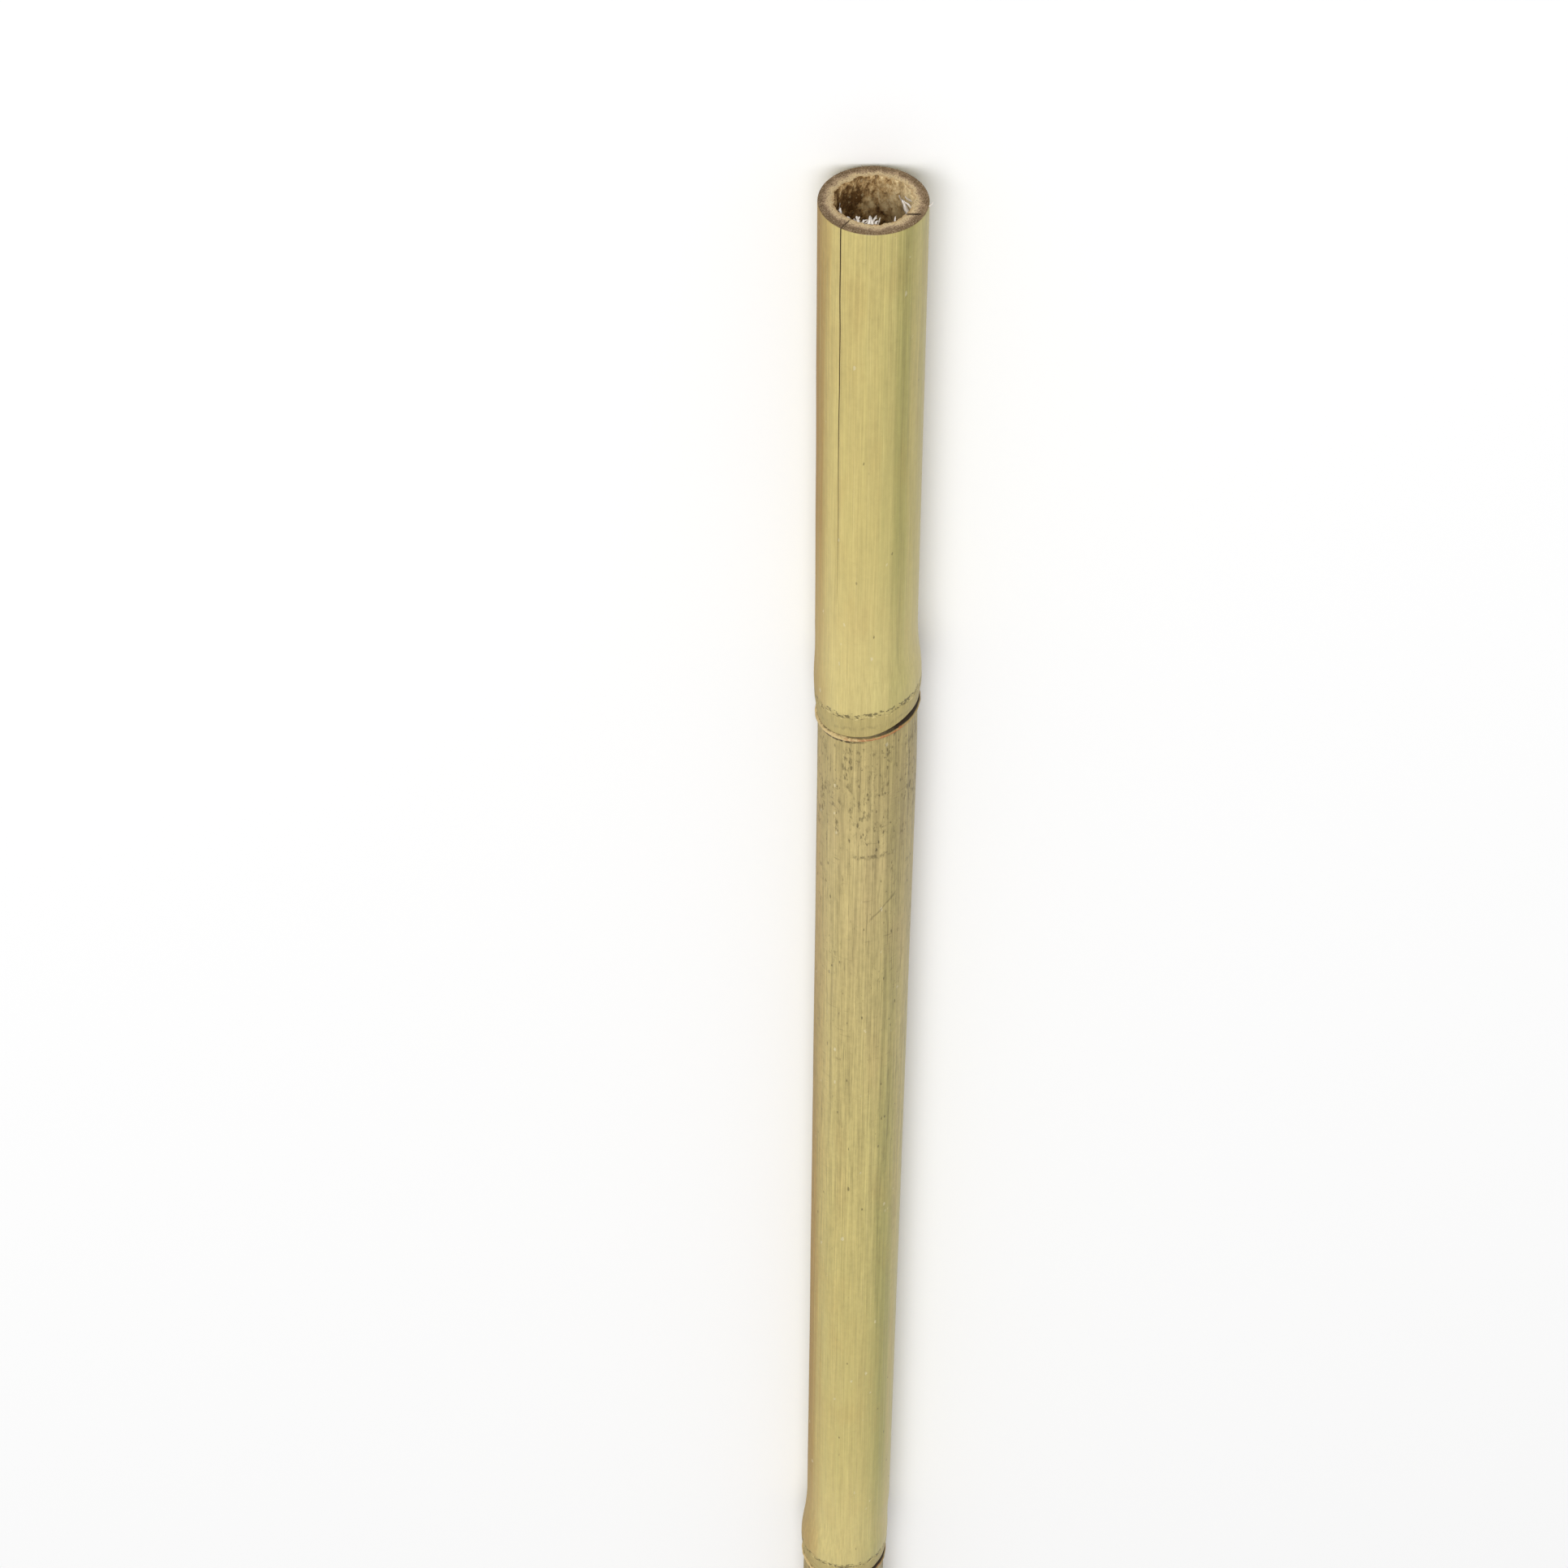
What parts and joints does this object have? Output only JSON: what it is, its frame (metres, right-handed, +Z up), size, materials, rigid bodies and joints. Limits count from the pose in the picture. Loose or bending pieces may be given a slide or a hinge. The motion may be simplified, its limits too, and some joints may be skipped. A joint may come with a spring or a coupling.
{
  "type": "bamboo cane",
  "caption": "Straight cut length of bamboo cane with ridged nodes, scar rings and an open bore at each sawn end, lying on its side.",
  "frame": {"origin": "on the surface that the cane rests on, under the middle of its length", "axes": "+X along the cane towards its upper, thinner cut end, +Z up, +Y across it"},
  "size_m": [1.2, 0.0255, 0.0243],
  "materials": {
    "cane": "satin"
  },
  "bodies": {
    "root": {"bamboo_cane": "cane"}
  },
  "joints": []
}
